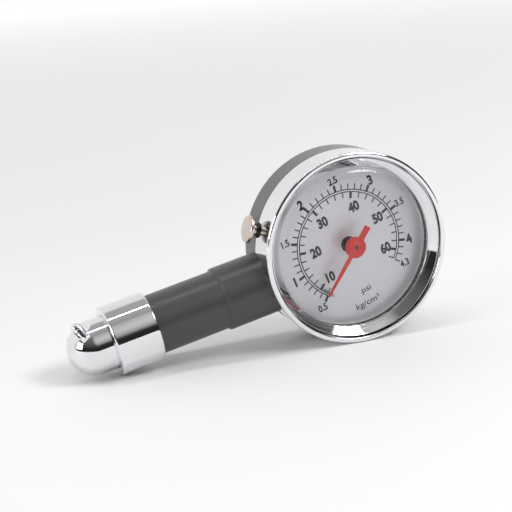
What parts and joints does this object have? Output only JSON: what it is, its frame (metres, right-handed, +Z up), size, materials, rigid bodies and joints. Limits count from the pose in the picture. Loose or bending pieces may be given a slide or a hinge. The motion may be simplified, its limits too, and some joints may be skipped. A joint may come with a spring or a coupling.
{
  "type": "tyre pressure gauge",
  "caption": "Pocket dial tyre pressure gauge: round chromed case, domed window, red pointer, plastic grip, chromed collar, press-on ball chuck and bleed button.",
  "frame": {"origin": "centre of the case's flat back, on the case axis", "axes": "+Y out of the case back, the dial faces -Y; +Z up as the gauge stands on its bezel rim and its chuck collar; the stem points along -X and slopes down to the chuck"},
  "size_m": [0.1008, 0.0193, 0.05],
  "materials": {
    "grey_plastic": "satin moulded",
    "chrome": "bright chrome plate",
    "clear_lens": "clear moulded",
    "rubber": "moulded",
    "white_plastic": "moulded",
    "dial_silver": "silver lacquer with black print",
    "pointer_red": "gloss enamel",
    "steel": "turned",
    "bronze": "drawn",
    "brass": "machined",
    "nickel": "nickel plate"
  },
  "bodies": {
    "case": {"rear_housing": "grey_plastic", "front_shell": "chrome", "bezel_ring": "chrome", "lens": "clear_lens", "lens_gasket": "rubber", "dial_spacer": "white_plastic", "dial_plate": "dial_silver", "stop_pin": "steel", "hairspring": "bronze", "hairspring_stud": "steel", "movement_front_plate": "brass", "movement_back_plate": "brass", "plate_pillars": "brass", "pillar_screws": "steel", "movement_screws": "steel", "bourdon_tube": "bronze", "socket_block": "brass", "socket_screws": "steel", "stem_tube": "brass", "stem_washer": "rubber", "grip_sleeve": "grey_plastic", "chuck_collar": "chrome", "chuck_head": "chrome", "port_seal": "rubber", "depressor_pin": "steel", "deflator_nib": "chrome", "check_valve_seat": "brass", "check_valve_spring": "steel", "bleed_valve_body": "nickel", "bleed_spring": "steel"},
    "pointer": {"pointer": "pointer_red", "pinion_arbor": "steel", "hairspring_collet": "brass"},
    "sector": {"sector_gear": "brass", "sector_arbor": "steel", "link_pin": "steel"},
    "link": {"link": "brass"},
    "tube_tip": {"tube_end_piece": "brass"},
    "bleed_button": {"bleed_button": "nickel", "bleed_plunger": "steel", "bleed_seal": "rubber"},
    "check_valve": {"check_valve_poppet": "brass", "check_valve_seal": "rubber"}
  },
  "joints": [
    {"name": "sector_swing", "type": "hinge", "parent": "case", "child": "sector", "pos_m": [-0.00783, -0.0072, -0.0119], "axis": [0, -1, 0], "range_deg": [0, 30.82], "stiffness_Nm_per_rad": 0.004, "springref_deg": -2.86},
    {"name": "pointer_spin", "type": "hinge", "parent": "case", "child": "pointer", "pos_m": [0, -0.012, 0], "axis": [0, 1, 0], "range_deg": [0, 262], "deforming": ["hairspring"]},
    {"name": "link_pivot", "type": "hinge", "parent": "sector", "child": "link", "pos_m": [-0.01031, -0.00605, -0.01408], "axis": [0, -1, 0], "range_deg": [-30.82, 0]},
    {"name": "tube_tip_turn", "type": "hinge", "parent": "case", "child": "tube_tip", "pos_m": [0.00545, -0.0066, 0.0026], "axis": [0, -1, 0], "range_deg": [0, 4.44], "deforming": ["bourdon_tube"]},
    {"name": "bleed_button_press", "type": "slide", "parent": "case", "child": "bleed_button", "axis": [0.9634, 0, -0.268], "range_m": [0, 0.00135], "stiffness_N_per_m": 400, "springref_m": -0.001, "deforming": ["bleed_spring"]},
    {"name": "check_valve_lift", "type": "slide", "parent": "case", "child": "check_valve", "axis": [0.9794, 0, 0.202], "range_m": [0, 0.001], "stiffness_N_per_m": 80, "springref_m": -0.0006, "deforming": ["check_valve_spring"]}
  ],
  "couplings": [
    {"joint": "pointer_spin", "follows": "sector_swing", "ratio": 8.5},
    {"joint": "link_pivot", "follows": "sector_swing", "ratio": -1},
    {"joint": "tube_tip_turn", "follows": "sector_swing", "ratio": 0.14391}
  ]
}
